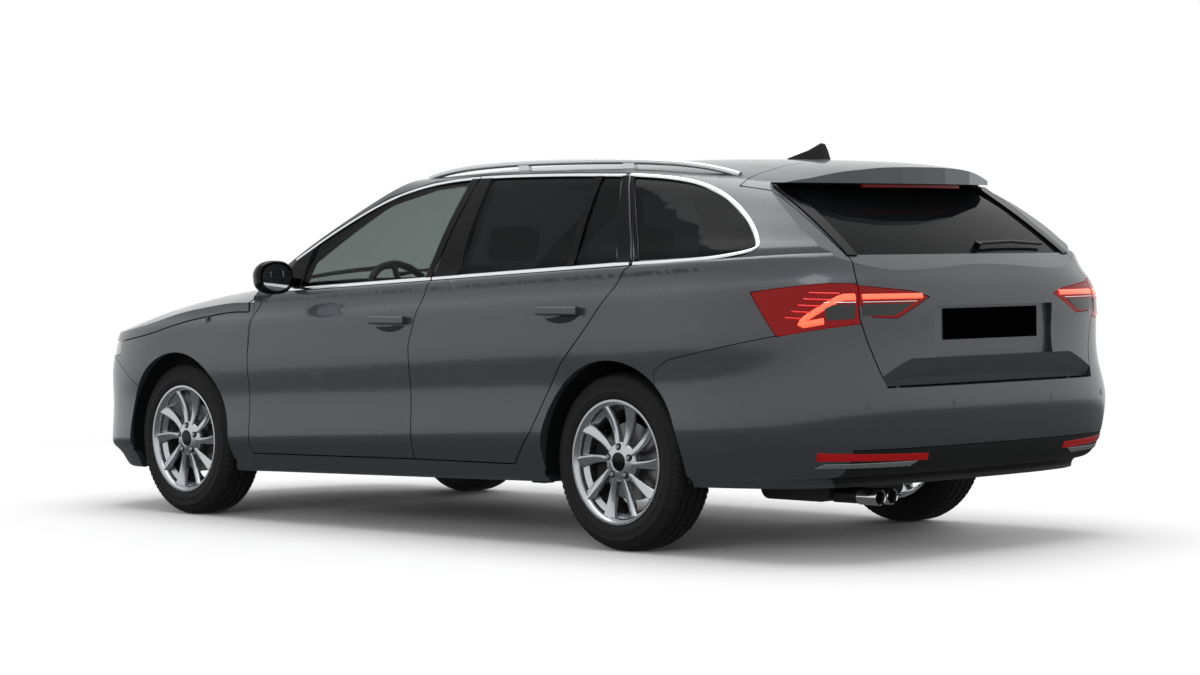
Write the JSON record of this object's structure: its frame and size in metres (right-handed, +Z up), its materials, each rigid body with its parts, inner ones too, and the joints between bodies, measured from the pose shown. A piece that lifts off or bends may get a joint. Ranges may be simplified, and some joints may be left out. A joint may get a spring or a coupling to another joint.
{
  "type": "station wagon",
  "caption": "Five-door station wagon with roof rails, steered front wheels, hinged side doors, bonnet and lifting tailgate",
  "frame": {"origin": "on the ground, midway between the front and rear ends and between the sides", "axes": "+X to the front of the car, +Y to its left, +Z up"},
  "size_m": [4.69, 2.102, 1.492],
  "materials": {
    "body_paint": "dark grey metallic paint under clear coat",
    "black_gloss": "gloss black",
    "black_plastic": "grained black",
    "window_glass": "tinted",
    "screen_glass": "clear",
    "red_lens": "clear red",
    "lamp_glass": "clear",
    "tyre_rubber": "moulded rubber",
    "alloy": "silver lacquer",
    "disc_iron": "ground",
    "chassis_steel": "black paint",
    "exhaust_steel": "dull",
    "anodised_rail": "satin",
    "seat_cloth": "woven",
    "trim": "soft grain",
    "plate": "blank black"
  },
  "bodies": {
    "car_body": {"side_panel_left": "body_paint", "side_panel_right": "body_paint", "fender_left": "body_paint", "fender_right": "body_paint", "roof_panel": "body_paint", "front_bumper": "body_paint", "rear_bumper": "body_paint", "rear_valance": "black_plastic", "wheel_liners": "black_plastic", "front_frame": "chassis_steel", "bulkhead": "chassis_steel", "floor_pan": "chassis_steel", "front_suspension": "chassis_steel", "rear_axle": "chassis_steel", "fuel_tank": "chassis_steel", "front_grille": "black_gloss", "roof_antenna": "black_gloss", "headlamps": "lamp_glass", "tail_lamps": "red_lens", "windscreen": "screen_glass", "quarter_glasses": "window_glass", "engine_block": "disc_iron", "exhaust": "exhaust_steel", "dashboard": "trim", "steering_wheel": "trim", "front_seats": "seat_cloth", "rear_seat": "seat_cloth", "roof_rails": "anodised_rail"},
    "steered_hub_left": {"knuckle_left": "chassis_steel"},
    "front_door_left": {"door_front_left": "body_paint", "glass_front_left": "window_glass", "mirror_left": "black_gloss"},
    "rear_door_left": {"door_rear_left": "body_paint", "glass_rear_left": "window_glass"},
    "wheel_front_left": {"tyre_front_left": "tyre_rubber", "rim_front_left": "alloy", "brake_disc_front_left": "disc_iron"},
    "wheel_rear_left": {"tyre_rear_left": "tyre_rubber", "rim_rear_left": "alloy", "brake_disc_rear_left": "disc_iron"},
    "steered_hub_right": {"knuckle_right": "chassis_steel"},
    "front_door_right": {"door_front_right": "body_paint", "glass_front_right": "window_glass", "mirror_right": "black_gloss"},
    "rear_door_right": {"door_rear_right": "body_paint", "glass_rear_right": "window_glass"},
    "wheel_front_right": {"tyre_front_right": "tyre_rubber", "rim_front_right": "alloy", "brake_disc_front_right": "disc_iron"},
    "wheel_rear_right": {"tyre_rear_right": "tyre_rubber", "rim_rear_right": "alloy", "brake_disc_rear_right": "disc_iron"},
    "tailgate_body": {"tailgate": "body_paint", "tailgate_glass": "window_glass", "tailgate_lamps": "red_lens", "roof_spoiler": "body_paint", "rear_wiper": "black_gloss", "number_plate": "plate"},
    "bonnet_body": {"bonnet": "body_paint"}
  },
  "joints": [
    {"name": "steer_left", "type": "hinge", "parent": "car_body", "child": "steered_hub_left", "pos_m": [1.455, 0.69, 0.326], "axis": [0, 0, 1], "range_deg": [-35, 35]},
    {"name": "front_wheel_left_spin", "type": "hinge", "parent": "steered_hub_left", "child": "wheel_front_left", "pos_m": [1.455, 0.768, 0.326], "axis": [0, 1, 0], "continuous": true},
    {"name": "rear_wheel_left_spin", "type": "hinge", "parent": "car_body", "child": "wheel_rear_left", "pos_m": [-1.231, 0.768, 0.326], "axis": [0, 1, 0], "continuous": true},
    {"name": "front_door_left_swing", "type": "hinge", "parent": "car_body", "child": "front_door_left", "pos_m": [0.93, 0.905, 0.6], "axis": [0, 0, -1], "range_deg": [0, 65]},
    {"name": "rear_door_left_swing", "type": "hinge", "parent": "car_body", "child": "rear_door_left", "pos_m": [-0.116, 0.905, 0.6], "axis": [0, 0, -1], "range_deg": [0, 70]},
    {"name": "steer_right", "type": "hinge", "parent": "car_body", "child": "steered_hub_right", "pos_m": [1.455, -0.69, 0.326], "axis": [0, 0, 1], "range_deg": [-35, 35]},
    {"name": "front_wheel_right_spin", "type": "hinge", "parent": "steered_hub_right", "child": "wheel_front_right", "pos_m": [1.455, -0.768, 0.326], "axis": [0, 1, 0], "continuous": true},
    {"name": "rear_wheel_right_spin", "type": "hinge", "parent": "car_body", "child": "wheel_rear_right", "pos_m": [-1.231, -0.768, 0.326], "axis": [0, 1, 0], "continuous": true},
    {"name": "front_door_right_swing", "type": "hinge", "parent": "car_body", "child": "front_door_right", "pos_m": [0.93, -0.905, 0.6], "axis": [0, 0, 1], "range_deg": [0, 65]},
    {"name": "rear_door_right_swing", "type": "hinge", "parent": "car_body", "child": "rear_door_right", "pos_m": [-0.116, -0.905, 0.6], "axis": [0, 0, 1], "range_deg": [0, 70]},
    {"name": "tailgate_lift", "type": "hinge", "parent": "car_body", "child": "tailgate_body", "pos_m": [-1.645, 0, 1.421], "axis": [0, 1, 0], "range_deg": [0, 78]},
    {"name": "bonnet_lift", "type": "hinge", "parent": "car_body", "child": "bonnet_body", "pos_m": [0.86, 0, 0.94], "axis": [0, -1, 0], "range_deg": [0, 50]}
  ],
  "couplings": [
    {"joint": "steer_right", "follows": "steer_left", "ratio": 1}
  ]
}
